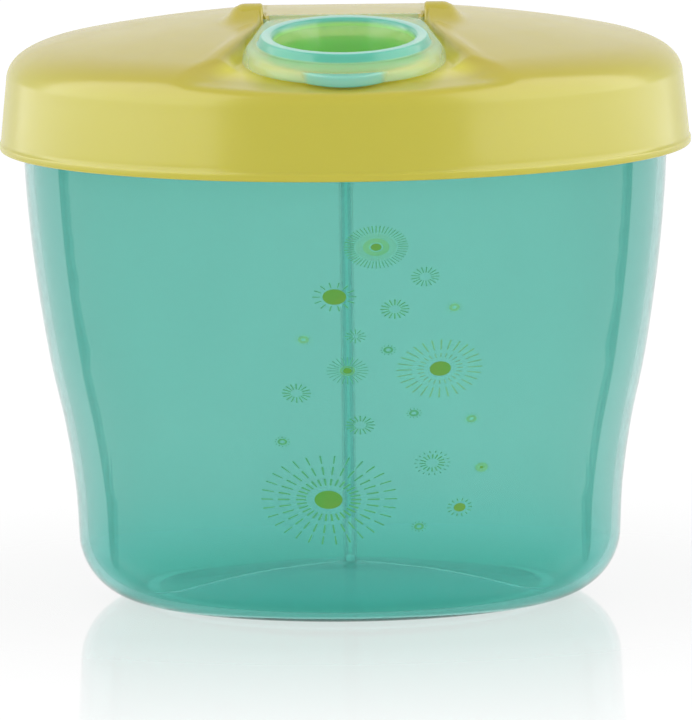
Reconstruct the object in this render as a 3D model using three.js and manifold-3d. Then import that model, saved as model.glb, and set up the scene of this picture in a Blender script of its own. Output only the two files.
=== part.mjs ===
// Formula dispenser: a round tub with a three-way divider, a domed lid that turns on the tub,
// and a flip cap that plugs the pouring spout in the lid.
// Millimetres, +Z up, origin at the centre of the ring that the tub stands on, front towards -Y.

import * as THREE from 'three';
import { mergeVertices } from 'three/addons/utils/BufferGeometryUtils.js';
import Module from 'manifold-3d';

const wasm = await Module();
wasm.setup();

// ---- driving dimensions -------------------------------------------------------------------

const ROUND_STEPS = 60; // sides of the tub, lid and disc
const SMALL_STEPS = 36; // sides of the cap and spout

const TUB_WALL = 1.4;
const TUB_RIM_Z = 79.6;
const TUB_BEAD_R = 51.6;
const TUB_BEAD_Z = 76.6; // underside of the bead round the rim
const TUB_SIDE = [ // radius and height of the outer side, from the bottom fillet up to the bead
  [43.2, 10.5], [43.65, 18], [45.1, 27.75], [47.2, 37.4],
  [48.8, 47], [50.05, 56.6], [50.9, 66.3], [51.3, 75.5],
];
const BASE_RING_R = [30.3, 32.7]; // the flat ring on which the tub stands
const PUNT_RISE = 3.4; // how far the bottom is domed upwards inside that ring

const VANE_THICK = 1.5;
const VANE_TOP_Z = 80.8;
const VANE_GAP = 0.4; // between the divider and the tub
const FRONT_VANE_ANGLE = 64.5; // degrees from the front to each of the two front vanes
const HUB_R = 1.3; // fillet where the three vanes meet

const LID_WALL = 1.6;
const LID_BOTTOM_Z = 71.9;
const LID_LIP_R = 55;
const LID_TOP_Z = 93.65; // crown of the dome
const DOME_DROP = 5.6; // how far the dome falls from the crown to the radius DOME_R
const DOME_R = 51.3;
const SKIRT_TOP = [53.8, 83]; // radius and height where the shoulder starts, outside
const SKIRT_TOP_INSIDE = [52.3, 82.8];
const SHOULDER_PULL = [53.65, 87.6]; // the corner that the shoulder's curve rounds off, outside
const SHOULDER_PULL_INSIDE = [52.1, 86.2];
const SHOULDER_R = 45.5; // where the dome begins
const LID_BEAD_R = 52; // bead inside the skirt, below the bead of the tub
const LID_BEAD_Z = [75.4, 75.9];

const SEAL_R = [50, 51.2];
const SEAL_Z = [79.9, 80.9];
const DISC_R = 51.9;
const DISC_Z = [81.2, 82.7];
const LUG_COUNT = 6;
const LUG_R = 51.6;
const LUG_Z = [80.3, 80.9];
const LUG_WIDTH = 9;
const LUG_DEPTH = 1.3;
const POUR_HOLE_R = 10.4;

const CAP_Y = -33; // centre of the spout and of its cap
const FACET_DEPTH = 3.02; // how far the flat under the cap lies below the dome's tangent plane
const RECESS_EDGE = [ // half the recess's width, and where, back from the cap's centre
  [12.9, 27.4], [13.4, 22], [14.6, 14], [16.2, 7], [18.4, 0], [20.2, -5], [27, -11], [27, -36],
];
const CUT_ROOM = 12; // height of the cutters above the flat
const CUT_SIDE = 20; // half the width of the cutters that shape the cap
const CAP_R = 16; // foot of the cap's skirt
const CAP_FOOT = 0.35; // gap under the skirt
const PLATEAU_H = 3.2; // top of the cap around its collar, above the flat
const PLATEAU_INSET = 1.9;
const CAP_WALL = 1.2;
const REAR_TOP_H = 1.9; // top of the cap where it meets the hinge barrel
const REAR_SLOPE = [12, 28.3]; // where the top slopes down, back from the cap's centre
const COLLAR_H = 4.65;
const COLLAR_R = [11.1, 13.6]; // mouth of the well, and outside of the collar
const WELL_R = 9.5; // bottom of the well
const WELL_FLOOR_H = -2.4;
const PLUG_R = [11.2, 10.5]; // the plug at its top and bottom
const PLUG_BOTTOM_H = -3.6;
const SPOUT_R = [11.8, 13.1]; // bore and outside of the spout
const SPOUT_TOP_H = 1.4;
const SPOUT_GAP = 0.3; // between the spout and the closure disc below it
const TAB_HALF = 7.2; // half the width of the thumb tab
const TAB_REACH = 1.9; // how far the tab stands out past the skirt
const TAB_TOP_H = 2.2;
const TAB_ROOT = 2.2; // how far the tab reaches into the skirt

const HINGE_BACK = 24.3; // from the cap's centre back to the hinge axis, along the flat
const HINGE_H = 0.55; // height of the hinge axis above the flat
const BARREL_R = 1.45;
const BARREL_HALF = 11.9;
const BARREL_GAP = 0.4; // between the barrel and its groove in the lid
const GROOVE_WALL = 1.3;
const KNUCKLE_R = 3.3;
const KNUCKLE_X = [12.75, 17.8];
const STUD_R = 0.8;
const STUD_REACH = 3.2; // how far each stud of the barrel enters its knuckle
const SOCKET_R = 1.15;

// ---- derived values -----------------------------------------------------------------------

const domeZ = (r) => LID_TOP_Z - DOME_DROP * (r / DOME_R) ** 2;
const TILT = Math.atan(2 * DOME_DROP * -CAP_Y / DOME_R ** 2); // the dome's slope at the spout
const FLAT_Z = domeZ(CAP_Y) - FACET_DEPTH;
const capFrame = new THREE.Matrix4().makeRotationX(TILT).setPosition(0, CAP_Y, FLAT_Z);

// ---- solids -------------------------------------------------------------------------------

// Turns a closed three.js geometry, placed by an optional matrix, into a solid.
function solid(geometry, matrix) {
  let shape = geometry.index ? geometry.toNonIndexed() : geometry.clone();
  for (const name of Object.keys(shape.attributes)) {
    if (name !== 'position') shape.deleteAttribute(name);
  }
  shape = mergeVertices(shape, 1e-4);
  if (matrix) shape.applyMatrix4(matrix);
  const points = shape.attributes.position;
  const index = shape.index.array;
  const corners = [];
  let volume = 0;
  const [a, b, c] = [new THREE.Vector3(), new THREE.Vector3(), new THREE.Vector3()];
  for (let i = 0; i < index.length; i += 3) {
    const [p, q, r] = [index[i], index[i + 1], index[i + 2]];
    if (p === q || q === r || r === p) continue; // a triangle shrunk to a line at a pole
    a.fromBufferAttribute(points, p);
    b.fromBufferAttribute(points, q);
    c.fromBufferAttribute(points, r);
    volume += a.dot(b.cross(c));
    corners.push(p, q, r);
  }
  if (volume < 0) {
    for (let i = 0; i < corners.length; i += 3) {
      [corners[i + 1], corners[i + 2]] = [corners[i + 2], corners[i + 1]];
    }
  }
  return new wasm.Manifold(new wasm.Mesh({
    numProp: 3,
    vertProperties: new Float32Array(points.array),
    triVerts: new Uint32Array(corners),
  }));
}

// A solid of revolution about +Z from [radius, height] points, closed on the axis or on itself.
function turned(profile, steps, matrix) {
  const points = profile.map(([r, z]) => new THREE.Vector2(r, z));
  const geometry = new THREE.LatheGeometry(points, steps).rotateX(Math.PI / 2);
  return solid(geometry, matrix);
}

function ring([inner, outer], [bottom, top], steps, matrix) {
  const corners = [[inner, bottom], [outer, bottom], [outer, top], [inner, top], [inner, bottom]];
  return turned(corners, steps, matrix);
}

function disc(radius, [bottom, top], steps, matrix) {
  return turned([[0, bottom], [radius, bottom], [radius, top], [0, top]], steps, matrix);
}

// A prism with the given outline in X and Y, from one height to another.
function prism(shape, [bottom, top], matrix) {
  const options = { depth: top - bottom, bevelEnabled: false, curveSegments: 16 };
  return solid(new THREE.ExtrudeGeometry(shape, options).translate(0, 0, bottom), matrix);
}

function block([x0, x1], [y0, y1], [z0, z1], matrix) {
  const box = new THREE.BoxGeometry(x1 - x0, y1 - y0, z1 - z0);
  return solid(box.translate((x0 + x1) / 2, (y0 + y1) / 2, (z0 + z1) / 2), matrix);
}

// A round bar along X on the hinge axis, given by its radius and its two ends.
function hingeBar(radius, [x0, x1], steps = 20) {
  const bar = new THREE.CylinderGeometry(radius, radius, x1 - x0, steps).rotateZ(Math.PI / 2);
  return solid(bar.translate((x0 + x1) / 2, HINGE_BACK, HINGE_H), capFrame);
}

function mirrored([x0, x1]) {
  return [[x0, x1], [-x1, -x0]];
}

// Points on an arc, angles in degrees from +r towards +z.
function arc(r, z, radius, from, to, steps) {
  return Array.from({ length: steps + 1 }, (_, i) => {
    const angle = THREE.MathUtils.degToRad(from + (to - from) * i / steps);
    return [r + radius * Math.cos(angle), z + radius * Math.sin(angle)];
  });
}

function bend(p, q, r, steps) {
  const curve = new THREE.QuadraticBezierCurve(new THREE.Vector2(...p), new THREE.Vector2(...q),
    new THREE.Vector2(...r));
  return curve.getPoints(steps).map((v) => [v.x, v.y]);
}

function part(name, shape, colour, roughness, opacity = 1) {
  const mesh = shape.getMesh();
  const geometry = new THREE.BufferGeometry();
  geometry.setAttribute('position', new THREE.BufferAttribute(mesh.vertProperties, 3));
  geometry.setIndex(new THREE.BufferAttribute(mesh.triVerts, 1));
  geometry.computeVertexNormals();
  const material = new THREE.MeshStandardMaterial({
    color: colour, roughness, metalness: 0, opacity, transparent: opacity < 1,
  });
  const result = new THREE.Mesh(geometry, material);
  result.name = name;
  return result;
}

// ---- tub and divider ----------------------------------------------------------------------

// The tub's surface, moved inwards by an inset: the bottom dome, the fillet and the S-shaped side.
function tubSurface(inset) {
  const [ringIn, ringOut] = BASE_RING_R;
  const filletR = TUB_SIDE[0][1];
  const dome = [0, 0.5, 0.8].map((t) => [ringIn * t, PUNT_RISE * (1 - t * t) + inset]);
  const corner = arc(TUB_SIDE[0][0] - filletR, filletR, filletR - inset, -90, 0, 4);
  const side = new THREE.SplineCurve(TUB_SIDE.map(([r, z]) => new THREE.Vector2(r - inset, z)));
  const flat = [[ringIn, inset], [ringOut, inset]];
  return [...dome, ...flat, ...corner.slice(1), ...side.getPoints(8).slice(1).map((v) => [v.x, v.y])];
}

function tub() {
  const bead = [[TUB_BEAD_R, TUB_BEAD_Z], [TUB_BEAD_R, TUB_RIM_Z - 0.4], [TUB_BEAD_R - 0.4, TUB_RIM_Z]];
  const mouth = [[TUB_BEAD_R - TUB_WALL - 0.2, TUB_RIM_Z + 1], [0, TUB_RIM_Z + 1]];
  const outside = turned([...tubSurface(0), ...bead, [0, TUB_RIM_Z]], ROUND_STEPS);
  const inside = turned([...tubSurface(TUB_WALL), ...mouth], ROUND_STEPS);
  return part('tub', outside.subtract(inside), '#70bab0', 0.3, 0.7);
}

function dividerInsert() {
  const reach = TUB_BEAD_R; // each vane is cut back from here to the tub's inside
  let vanes = disc(HUB_R, [0, VANE_TOP_Z], 20);
  for (const degrees of [180, FRONT_VANE_ANGLE, -FRONT_VANE_ANGLE]) {
    const turn = new THREE.Matrix4().makeRotationZ(THREE.MathUtils.degToRad(degrees));
    vanes = vanes.add(block([-VANE_THICK / 2, VANE_THICK / 2], [-reach, 0], [0, VANE_TOP_Z], turn));
  }
  const side = tubSurface(TUB_WALL + VANE_GAP);
  const room = turned([...side, [side.at(-1)[0], VANE_TOP_Z + 1], [0, VANE_TOP_Z + 1]], ROUND_STEPS);
  return part('divider_insert', vanes.intersect(room), '#7cc4ba', 0.35, 0.7);
}

// ---- lid ----------------------------------------------------------------------------------

function dome(lowered, outTo) {
  return [0, 0.35, 0.65, 1].map((t) => [outTo * t, domeZ(outTo * t) - lowered]).reverse();
}

function lidOutside() {
  const lip = LID_LIP_R;
  const edge = [[0, LID_BOTTOM_Z], [lip - 0.25, LID_BOTTOM_Z], [lip, LID_BOTTOM_Z + 0.4],
    [lip, LID_BOTTOM_Z + 1], [lip - 0.25, LID_BOTTOM_Z + 1.8]];
  const shoulder = bend(SKIRT_TOP, SHOULDER_PULL, [SHOULDER_R, domeZ(SHOULDER_R)], 4);
  return turned([...edge, ...shoulder, ...dome(0, SHOULDER_R).slice(1)], ROUND_STEPS);
}

function lidInside() {
  const [beadLow, beadHigh] = LID_BEAD_Z;
  const skirt = [[0, LID_BOTTOM_Z - 1], [53.4, LID_BOTTOM_Z - 1], [53.2, beadLow - 0.8],
    [LID_BEAD_R, beadLow], [LID_BEAD_R, beadHigh], [53, beadHigh + 0.8]];
  const domeStart = [SHOULDER_R, domeZ(SHOULDER_R) - LID_WALL];
  const shoulder = bend(SKIRT_TOP_INSIDE, SHOULDER_PULL_INSIDE, domeStart, 3);
  return turned([...skirt, ...shoulder, ...dome(LID_WALL, SHOULDER_R).slice(1)], ROUND_STEPS);
}

// The recess under the cap, seen from above in the cap's own frame: narrow between the knuckles
// and flaring forwards until the flat runs out of the dome.
function recess(widen, [bottom, top]) {
  const points = RECESS_EDGE.map(([x, y]) => new THREE.Vector2(x + widen, y));
  const other = points.map((p) => new THREE.Vector2(-p.x, p.y)).reverse();
  return prism(new THREE.Shape([...points, ...other]), [bottom, top], capFrame);
}

// The spout, from just above the closure disc up into the cap.
function spoutTube() {
  const tube = ring([SPOUT_R[0] - 1, SPOUT_R[1]], [-9, SPOUT_TOP_H], SMALL_STEPS, capFrame);
  const below = block([-30, 30], [CAP_Y - 20, CAP_Y + 20], [70, DISC_Z[1] + SPOUT_GAP]);
  return tube.subtract(below);
}

function lid() {
  const grooveR = BARREL_R + BARREL_GAP;
  const socketEnd = BARREL_HALF + STUD_REACH + 0.6;
  let outside = lidOutside().subtract(recess(0, [0, CUT_ROOM]));
  let inside = lidInside().subtract(recess(LID_WALL, [-LID_WALL, CUT_ROOM]));
  inside = inside.subtract(hingeBar(grooveR + GROOVE_WALL, [-KNUCKLE_X[1], KNUCKLE_X[1]]));
  for (const ends of mirrored(KNUCKLE_X)) outside = outside.add(hingeBar(KNUCKLE_R, ends));
  let shell = outside.subtract(inside).add(spoutTube());
  shell = shell.subtract(disc(SPOUT_R[0], [-CUT_ROOM, CUT_ROOM], SMALL_STEPS, capFrame));
  shell = shell.subtract(hingeBar(grooveR, [-KNUCKLE_X[0], KNUCKLE_X[0]]));
  for (const ends of mirrored([KNUCKLE_X[0] - 1, socketEnd])) {
    shell = shell.subtract(hingeBar(SOCKET_R, ends, 16));
  }
  for (let i = 0; i < LUG_COUNT; i += 1) {
    const turn = new THREE.Matrix4().makeRotationZ(2 * Math.PI * (i + 0.5) / LUG_COUNT);
    const lug = block([-LUG_WIDTH / 2, LUG_WIDTH / 2], [LUG_R, LUG_R + LUG_DEPTH], LUG_Z, turn);
    shell = shell.add(lug);
  }
  return part('lid', shell, '#d9cf78', 0.3);
}

function lidSeal() {
  return part('lid_seal', ring(SEAL_R, SEAL_Z, ROUND_STEPS), '#e8ece6', 0.6);
}

function closureDisc() {
  const holeY = CAP_Y + (FLAT_Z - DISC_Z[1]) * Math.tan(TILT);
  const place = new THREE.Matrix4().makeTranslation(0, holeY, 0);
  const hole = disc(POUR_HOLE_R, [DISC_Z[0] - 1, DISC_Z[1] + 1], SMALL_STEPS, place);
  return part('closure_disc', disc(DISC_R, DISC_Z, ROUND_STEPS).subtract(hole), '#d9cf78', 0.45);
}

// ---- flip cap -----------------------------------------------------------------------------

// Outline of the cap: the front of a circle, and two sides that narrow to the hinge barrel.
function capOutline(inset) {
  const radius = CAP_R - inset;
  const half = BARREL_HALF - inset * 0.5;
  const reach = Math.hypot(half, HINGE_BACK);
  const touch = Math.atan2(HINGE_BACK, half) - Math.acos(radius / reach); // where a side meets the circle
  const shape = new THREE.Shape();
  shape.moveTo(half, HINGE_BACK);
  shape.lineTo(-half, HINGE_BACK);
  shape.absarc(0, 0, radius, Math.PI - touch, 2 * Math.PI + touch, false);
  return shape;
}

// The cap's body without its well, made smaller all round by an inset: a rounded edge runs from
// the foot up to the plateau.
function capBody(inset) {
  const rise = PLATEAU_H - CAP_FOOT;
  const depth = 2;
  const geometry = new THREE.ExtrudeGeometry(capOutline(inset), {
    depth, curveSegments: 14, bevelThickness: rise, bevelSize: PLATEAU_INSET, bevelOffset: -PLATEAU_INSET,
    bevelSegments: 3,
  });
  const whole = solid(geometry.translate(0, 0, PLATEAU_H - inset - rise - depth), capFrame);
  const foot = CAP_FOOT - inset;
  return whole.subtract(block([-CUT_SIDE, CUT_SIDE], [-CUT_SIDE, 30], [foot - 9, foot], capFrame));
}

// Cuts the top down from the plateau, behind the collar, to the barrel.
function rearSlope(lowered) {
  const [start, end] = REAR_SLOPE;
  const top = PLATEAU_H + 3;
  const corners = [[start, top], [start, PLATEAU_H - lowered], [end, REAR_TOP_H - lowered], [end, top]];
  const slope = new THREE.Shape(corners.map(([back, height]) => new THREE.Vector2(back, height)));
  const upright = new THREE.Matrix4().makeBasis(new THREE.Vector3(0, 1, 0), new THREE.Vector3(0, 0, 1),
    new THREE.Vector3(1, 0, 0));
  return prism(slope, [-CUT_SIDE, CUT_SIDE], capFrame.clone().multiply(upright));
}

function thumbTab() {
  const back = -CAP_R + TAB_ROOT;
  const tip = -CAP_R - TAB_REACH;
  const shape = new THREE.Shape();
  shape.moveTo(-TAB_HALF, back);
  shape.quadraticCurveTo(0, 2 * tip - back, TAB_HALF, back);
  return prism(shape, [CAP_FOOT, TAB_TOP_H], capFrame);
}

function flipCap() {
  const [mouthR, collarR] = COLLAR_R;
  const [plugR, plugBottomR] = PLUG_R;
  const collarFoot = PLATEAU_H - 0.2;
  const collar = turned([[0, 1.5], [plugR, 1.5], [collarR + 1, collarFoot], [collarR - 0.2, COLLAR_H - 0.35],
    [collarR - 0.7, COLLAR_H], [0, COLLAR_H]], SMALL_STEPS, capFrame);
  const plug = turned([[0, PLUG_BOTTOM_H], [plugBottomR, PLUG_BOTTOM_H], [plugR, 1],
    [plugR, collarFoot - 0.4], [0, collarFoot - 0.4]], SMALL_STEPS, capFrame);
  const well = turned([[0, WELL_FLOOR_H], [WELL_R, WELL_FLOOR_H], [mouthR, collarFoot],
    [mouthR + 0.5, COLLAR_H + 1], [0, COLLAR_H + 1]], SMALL_STEPS, capFrame);
  const behind = [HINGE_BACK - BARREL_R - 1, HINGE_BACK + 5];
  const barrelRoom = block([-CUT_SIDE, CUT_SIDE], behind, [-5, 9], capFrame);
  const hollow = capBody(CAP_WALL).subtract(rearSlope(CAP_WALL)).subtract(barrelRoom);
  let cap = capBody(0).subtract(rearSlope(0)).subtract(hollow);
  cap = cap.add(hingeBar(BARREL_R, [-BARREL_HALF, BARREL_HALF]));
  for (const ends of mirrored([BARREL_HALF - 0.5, BARREL_HALF + STUD_REACH])) {
    cap = cap.add(hingeBar(STUD_R, ends, 16));
  }
  cap = cap.add(collar).add(plug).subtract(well).add(thumbTab());
  return part('flip_cap', cap, '#9fdcc9', 0.2, 0.7);
}

// ---- assembly -----------------------------------------------------------------------------

const group = new THREE.Group();
group.add(tub(), dividerInsert(), lidSeal(), closureDisc(), lid(), flipCap());

export default group;
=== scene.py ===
# The looks of the formula dispenser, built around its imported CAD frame. Metres, +Z up, front -Y.

import math

import bmesh
import bpy
import numpy as np
from mathutils import Matrix, Vector


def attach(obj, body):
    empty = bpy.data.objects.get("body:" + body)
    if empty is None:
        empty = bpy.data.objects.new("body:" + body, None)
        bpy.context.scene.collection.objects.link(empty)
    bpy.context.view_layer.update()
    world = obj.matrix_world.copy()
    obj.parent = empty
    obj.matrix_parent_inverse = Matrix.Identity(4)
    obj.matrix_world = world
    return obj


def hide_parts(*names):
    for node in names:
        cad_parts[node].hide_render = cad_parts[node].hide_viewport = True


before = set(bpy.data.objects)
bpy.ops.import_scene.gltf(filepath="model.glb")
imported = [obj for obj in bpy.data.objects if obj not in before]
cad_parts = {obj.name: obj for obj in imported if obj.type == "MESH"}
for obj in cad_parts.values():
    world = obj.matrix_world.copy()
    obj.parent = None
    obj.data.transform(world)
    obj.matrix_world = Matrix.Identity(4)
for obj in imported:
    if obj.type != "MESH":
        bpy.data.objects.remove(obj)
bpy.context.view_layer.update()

MM = 0.001

# ---- driving dimensions, in millimetres -----------------------------------------------------
# Walls, joints and outer sizes are the CAD's. Heights named _H are above the cap's flat.

TUB_WALL = 1.4
TUB_RIM_Z = 79.6
TUB_BEAD_R = 51.6
TUB_SIDE = [(43.2, 10.5), (43.65, 18), (45.1, 27.75), (47.2, 37.4), (48.8, 47), (50.05, 56.6),
            (50.9, 66.3), (51.3, 75.5)]
PUNT_R = 30.3  # the bottom is domed up to this radius
PUNT_RISE = 3.4

VANE_THICK = 1.5
VANE_TOP_Z = 80.8
VANE_GAP = 0.4
FRONT_VANE_ANGLE = 64.5  # degrees from the front to each of the two front vanes
HUB_FILLET = 4  # the higher, the sharper the corner between two vanes
HUB_REACH = 4.5  # the fillets between the vanes are over at this radius
VANE_ROUNDING = 0.3
VANE_SHADE_WIDTH = 0.9  # width of the painted shade along a vane's outer edge, standing for light gathered in the vane

LID_WALL = 1.6
LID_BOTTOM_Z = 71.9
LID_LIP_R = 55.0
LID_FOOT_R = 53.7
LID_TOP_Z = 93.65
DOME_DROP = 5.6
DOME_R = 51.3
LIP_ROUNDING = 0.4
SKIRT_TOP = (53.8, 83)
SKIRT_TOP_INSIDE = (52.3, 82.8)
SHOULDER_PULL = (53.65, 87.6)
SHOULDER_PULL_INSIDE = (52.1, 86.2)
SHOULDER_R = 45.5
RECESS_EDGE = [  # (distance back from the cap's centre, half the recess's width)
    (-40, 38), (-14, 33), (-11, 27.5), (-5, 20.4), (0, 18.4), (7, 16.2), (14, 14.6), (22, 13.4),
    (27.4, 12.9)]
RECESS_REAR = (26.4, 27.8)  # distance back over which the recess's rear wall rises
RECESS_RIDGE = 0.3  # height of the low ridge along the recess's edge
LID_FINE_FROM = 83.8  # the recess and the hinge shape the lid above this height
LID_FINE_ANGLE = math.radians(86)  # the lid's steps are fine this far to each side of the front
LID_FINE_STEPS = 460
LID_PLAIN_STEPS = 110

SEAL_R = (50.0, 51.2)
SEAL_Z = (79.9, 80.9)
DISC_R = 51.9
DISC_Z = (81.2, 82.7)
DISC_ROUNDING = 0.3
POUR_HOLE_R = 10.4
LUG_COUNT = 6
LUG_R = 51.6
LUG_Z = (80.3, 80.9)
LUG_WIDTH = 9.0

CAP_Y = -33.0
FACET_DEPTH = 3.02
CAP_R = 16.0
CAP_FOOT = 0.35
PLATEAU_H = 3.2
PLATEAU_INSET = 1.9
CAP_WALL = 1.2
REAR_TOP_H = 1.9
COLLAR_H = 4.65
WELL_FLOOR_H = -2.45
PLUG_BOTTOM_H = -3.6
SPOUT_R = (11.8, 13.1)
SPOUT_TOP_H = 1.4
SPOUT_STEPS = 160
TAB_REACH = 1.9
TAB_TOP_H = 2.2
TAB_HALF = 7.2
TAB_ROUNDING = 0.35
HINGE_BACK = 24.3
HINGE_H = 0.55
BARREL_R = 1.45
BARREL_HALF = 11.9
BARREL_GAP = 0.4
GROOVE_WALL = 1.3
KNUCKLE_R = 3.3
KNUCKLE_X = (12.75, 17.8)
KNUCKLE_ROUNDINGS = (0.5, 2.2)  # at its inner and its outer end
MOUND_RISE = 2.25  # how far the lid swells up around each knuckle
MOUND_SIDE = 1.7  # how gently it fades to its sides
MOUND_LENGTH = 4.3  # and to its front and rear
FAR_ABOVE = 9  # lifts a surface out of the way of another
LAND_DEPTH = 0.35  # the lid is flat from side to side behind the hinge, this far below the crown
STUD_R = 0.8
STUD_REACH = 3.2
SOCKET_R = 1.15

ROUND_STEPS = 240


def dome_z(r):
    return LID_TOP_Z - DOME_DROP * (r / DOME_R) ** 2


DOME_BEND = DOME_DROP / DOME_R ** 2
TILT = math.atan(-2 * DOME_BEND * CAP_Y)
FLAT_Z = dome_z(CAP_Y) - FACET_DEPTH
CAP_FRAME = Matrix.Translation((0, CAP_Y * MM, FLAT_Z * MM)) @ Matrix.Rotation(TILT, 4, "X")
HINGE_Y = CAP_Y + HINGE_BACK * math.cos(TILT) - HINGE_H * math.sin(TILT)
HINGE_Z = FLAT_Z + HINGE_BACK * math.sin(TILT) + HINGE_H * math.cos(TILT)


# ---- camera ---------------------------------------------------------------------------------

CAMERA_DISTANCE = 2.2  # m
CAMERA_ELEVATION = math.radians(7.0)
CAMERA_ROLL = math.radians(-0.7)
FRAME_WIDTH = 0.1103  # m, width of the view at the tub's axis
AIM = Vector((-0.0003, 0, 0.0374))


def make_camera():
    data = bpy.data.cameras.new("camera")
    data.sensor_fit = "HORIZONTAL"
    data.sensor_width = 36
    data.lens = data.sensor_width * CAMERA_DISTANCE / FRAME_WIDTH
    data.clip_end = 50
    camera = bpy.data.objects.new("camera", data)
    back = Vector((0, -math.cos(CAMERA_ELEVATION), math.sin(CAMERA_ELEVATION)))
    turn = (-back).to_track_quat("-Z", "Y").to_matrix().to_4x4()
    roll = Matrix.Rotation(CAMERA_ROLL, 4, "Z")
    camera.matrix_world = Matrix.Translation(AIM + back * CAMERA_DISTANCE) @ turn @ roll
    bpy.context.scene.collection.objects.link(camera)
    bpy.context.scene.camera = camera


# ---- mesh helpers ---------------------------------------------------------------------------

def mesh_object(name, points_mm, faces, smooth_angle=35):
    mesh = bpy.data.meshes.new(name)
    mesh.from_pydata([tuple(c * MM for c in p) for p in points_mm], [], faces)
    mesh.validate()
    obj = bpy.data.objects.new(name, mesh)
    bpy.context.scene.collection.objects.link(obj)
    face_outwards(mesh)
    shade(obj, smooth_angle)
    return obj


def face_outwards(mesh):
    bm = bmesh.new()
    bm.from_mesh(mesh)
    bmesh.ops.recalc_face_normals(bm, faces=bm.faces)
    if bm.calc_volume(signed=True) < 0:
        bmesh.ops.reverse_faces(bm, faces=bm.faces)
    bm.to_mesh(mesh)
    bm.free()


def shade(obj, smooth_angle=35):
    for polygon in obj.data.polygons:
        polygon.use_smooth = True
    obj.data.set_sharp_from_angle(angle=math.radians(smooth_angle))


def skin(rows, closed):
    """Faces between neighbouring rows of point numbers. A row is a ring or a single point."""
    faces = []
    for low, high in zip(rows, rows[1:] + rows[:1] if closed else rows[1:]):
        count = max(len(low), len(high))
        if count == 1:
            continue
        for i in range(count):
            j = (i + 1) % count
            if len(low) == 1:
                faces.append((low[0], high[j], high[i]))
            elif len(high) == 1:
                faces.append((low[i], low[j], high[0]))
            else:
                faces.append((low[i], low[j], high[j], high[i]))
    return faces


def lathe(name, profile, steps=ROUND_STEPS, smooth_angle=35, angles=None):
    """A closed solid of revolution about Z from (radius, height) points: a loop, or a line that
    starts and ends on the axis. Its steps are even, unless their angles are given."""
    if angles is None:
        angles = [2 * math.pi * i / steps for i in range(steps)]
    rows = []
    points = []
    for r, z in profile:
        if r < 1e-6:
            rows.append([len(points)])
            points.append((0, 0, z))
        else:
            start = len(points)
            points += [(r * math.cos(a), r * math.sin(a), z) for a in angles]
            rows.append(list(range(start, len(points))))
    return mesh_object(name, points, skin(rows, closed=len(rows[0]) > 1), smooth_angle)


def arc(r, z, radius, start, end, steps):
    """Points along an arc about (r, z), from one angle to another in degrees."""
    angles = [math.radians(start + (end - start) * i / steps) for i in range(steps + 1)]
    return [(r + radius * math.cos(a), z + radius * math.sin(a)) for a in angles]


def bend(p, q, r, steps):
    """Points along the quadratic curve from p to r that is pulled towards q."""
    out = []
    for i in range(steps + 1):
        t = i / steps
        u = 1 - t
        out.append(tuple(u * u * p[k] + 2 * u * t * q[k] + t * t * r[k] for k in (0, 1)))
    return out


def spline(points, steps):
    """Points on the same Catmull-Rom curve that the CAD's side follows."""
    out = []
    last = len(points) - 1
    for i in range(steps + 1):
        place = last * i / steps
        k = min(int(place), last)
        w = place - k
        p1 = points[k]
        p0 = points[k if k == 0 else k - 1]
        p2 = points[min(k + 1, last)]
        p3 = points[min(k + 2, last)]
        pair = []
        for c in (0, 1):
            v0 = (p2[c] - p0[c]) * 0.5
            v1 = (p3[c] - p1[c]) * 0.5
            pair.append((2 * p1[c] - 2 * p2[c] + v0 + v1) * w ** 3
                        + (-3 * p1[c] + 3 * p2[c] - 2 * v0 - v1) * w ** 2 + v0 * w + p1[c])
        out.append(tuple(pair))
    return out


def smoothstep(low, high, value):
    t = np.clip((value - low) / (high - low), 0, 1)
    return t * t * (3 - 2 * t)


def smooth_min(a, b, width):
    h = np.clip(0.5 + 0.5 * (b - a) / width, 0, 1)
    return b * (1 - h) + a * h - width * h * (1 - h)


def combine(target, other, operation):
    """Joins other to target, or cuts it away, and deletes it."""
    modifier = target.modifiers.new("boolean", "BOOLEAN")
    modifier.operation = operation
    modifier.solver = "MANIFOLD"
    modifier.object = other
    apply_modifiers(target)
    mesh = other.data
    bpy.data.objects.remove(other)
    bpy.data.meshes.remove(mesh)
    return target


def apply_modifiers(obj):
    graph = bpy.context.evaluated_depsgraph_get()
    mesh = bpy.data.meshes.new_from_object(obj.evaluated_get(graph))
    old = obj.data
    obj.modifiers.clear()
    obj.data = mesh
    bpy.data.meshes.remove(old)


def round_edges(obj, width_mm, segments=2, angle=40):
    modifier = obj.modifiers.new("bevel", "BEVEL")
    modifier.width = width_mm * MM
    modifier.segments = segments
    modifier.limit_method = "ANGLE"
    modifier.angle_limit = math.radians(angle)
    modifier.use_clamp_overlap = True
    apply_modifiers(obj)
    shade(obj)


def hinge_bar(name, radius, x0, x1, steps=64, roundings=None):
    """A round bar along X on the hinge axis, with its ends square or rounded."""
    length = x1 - x0
    if roundings:
        first, last = roundings
        low = arc(radius - first, first, first, -90, 0, 8)
        high = arc(radius - last, length - last, last, 0, 90, 8)
    else:
        low, high = [(radius, 0)], [(radius, length)]
    bar = lathe(name, [(0, 0), *low, *high, (0, length)], steps)
    bar.data.transform(Matrix.Translation((x0 * MM, 0, 0)) @ Matrix.Rotation(math.pi / 2, 4, "Y"))
    bar.data.transform(Matrix.Translation((0, HINGE_BACK * MM, HINGE_H * MM)))
    bar.data.transform(CAP_FRAME)
    return bar


# ---- materials ------------------------------------------------------------------------------

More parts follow.
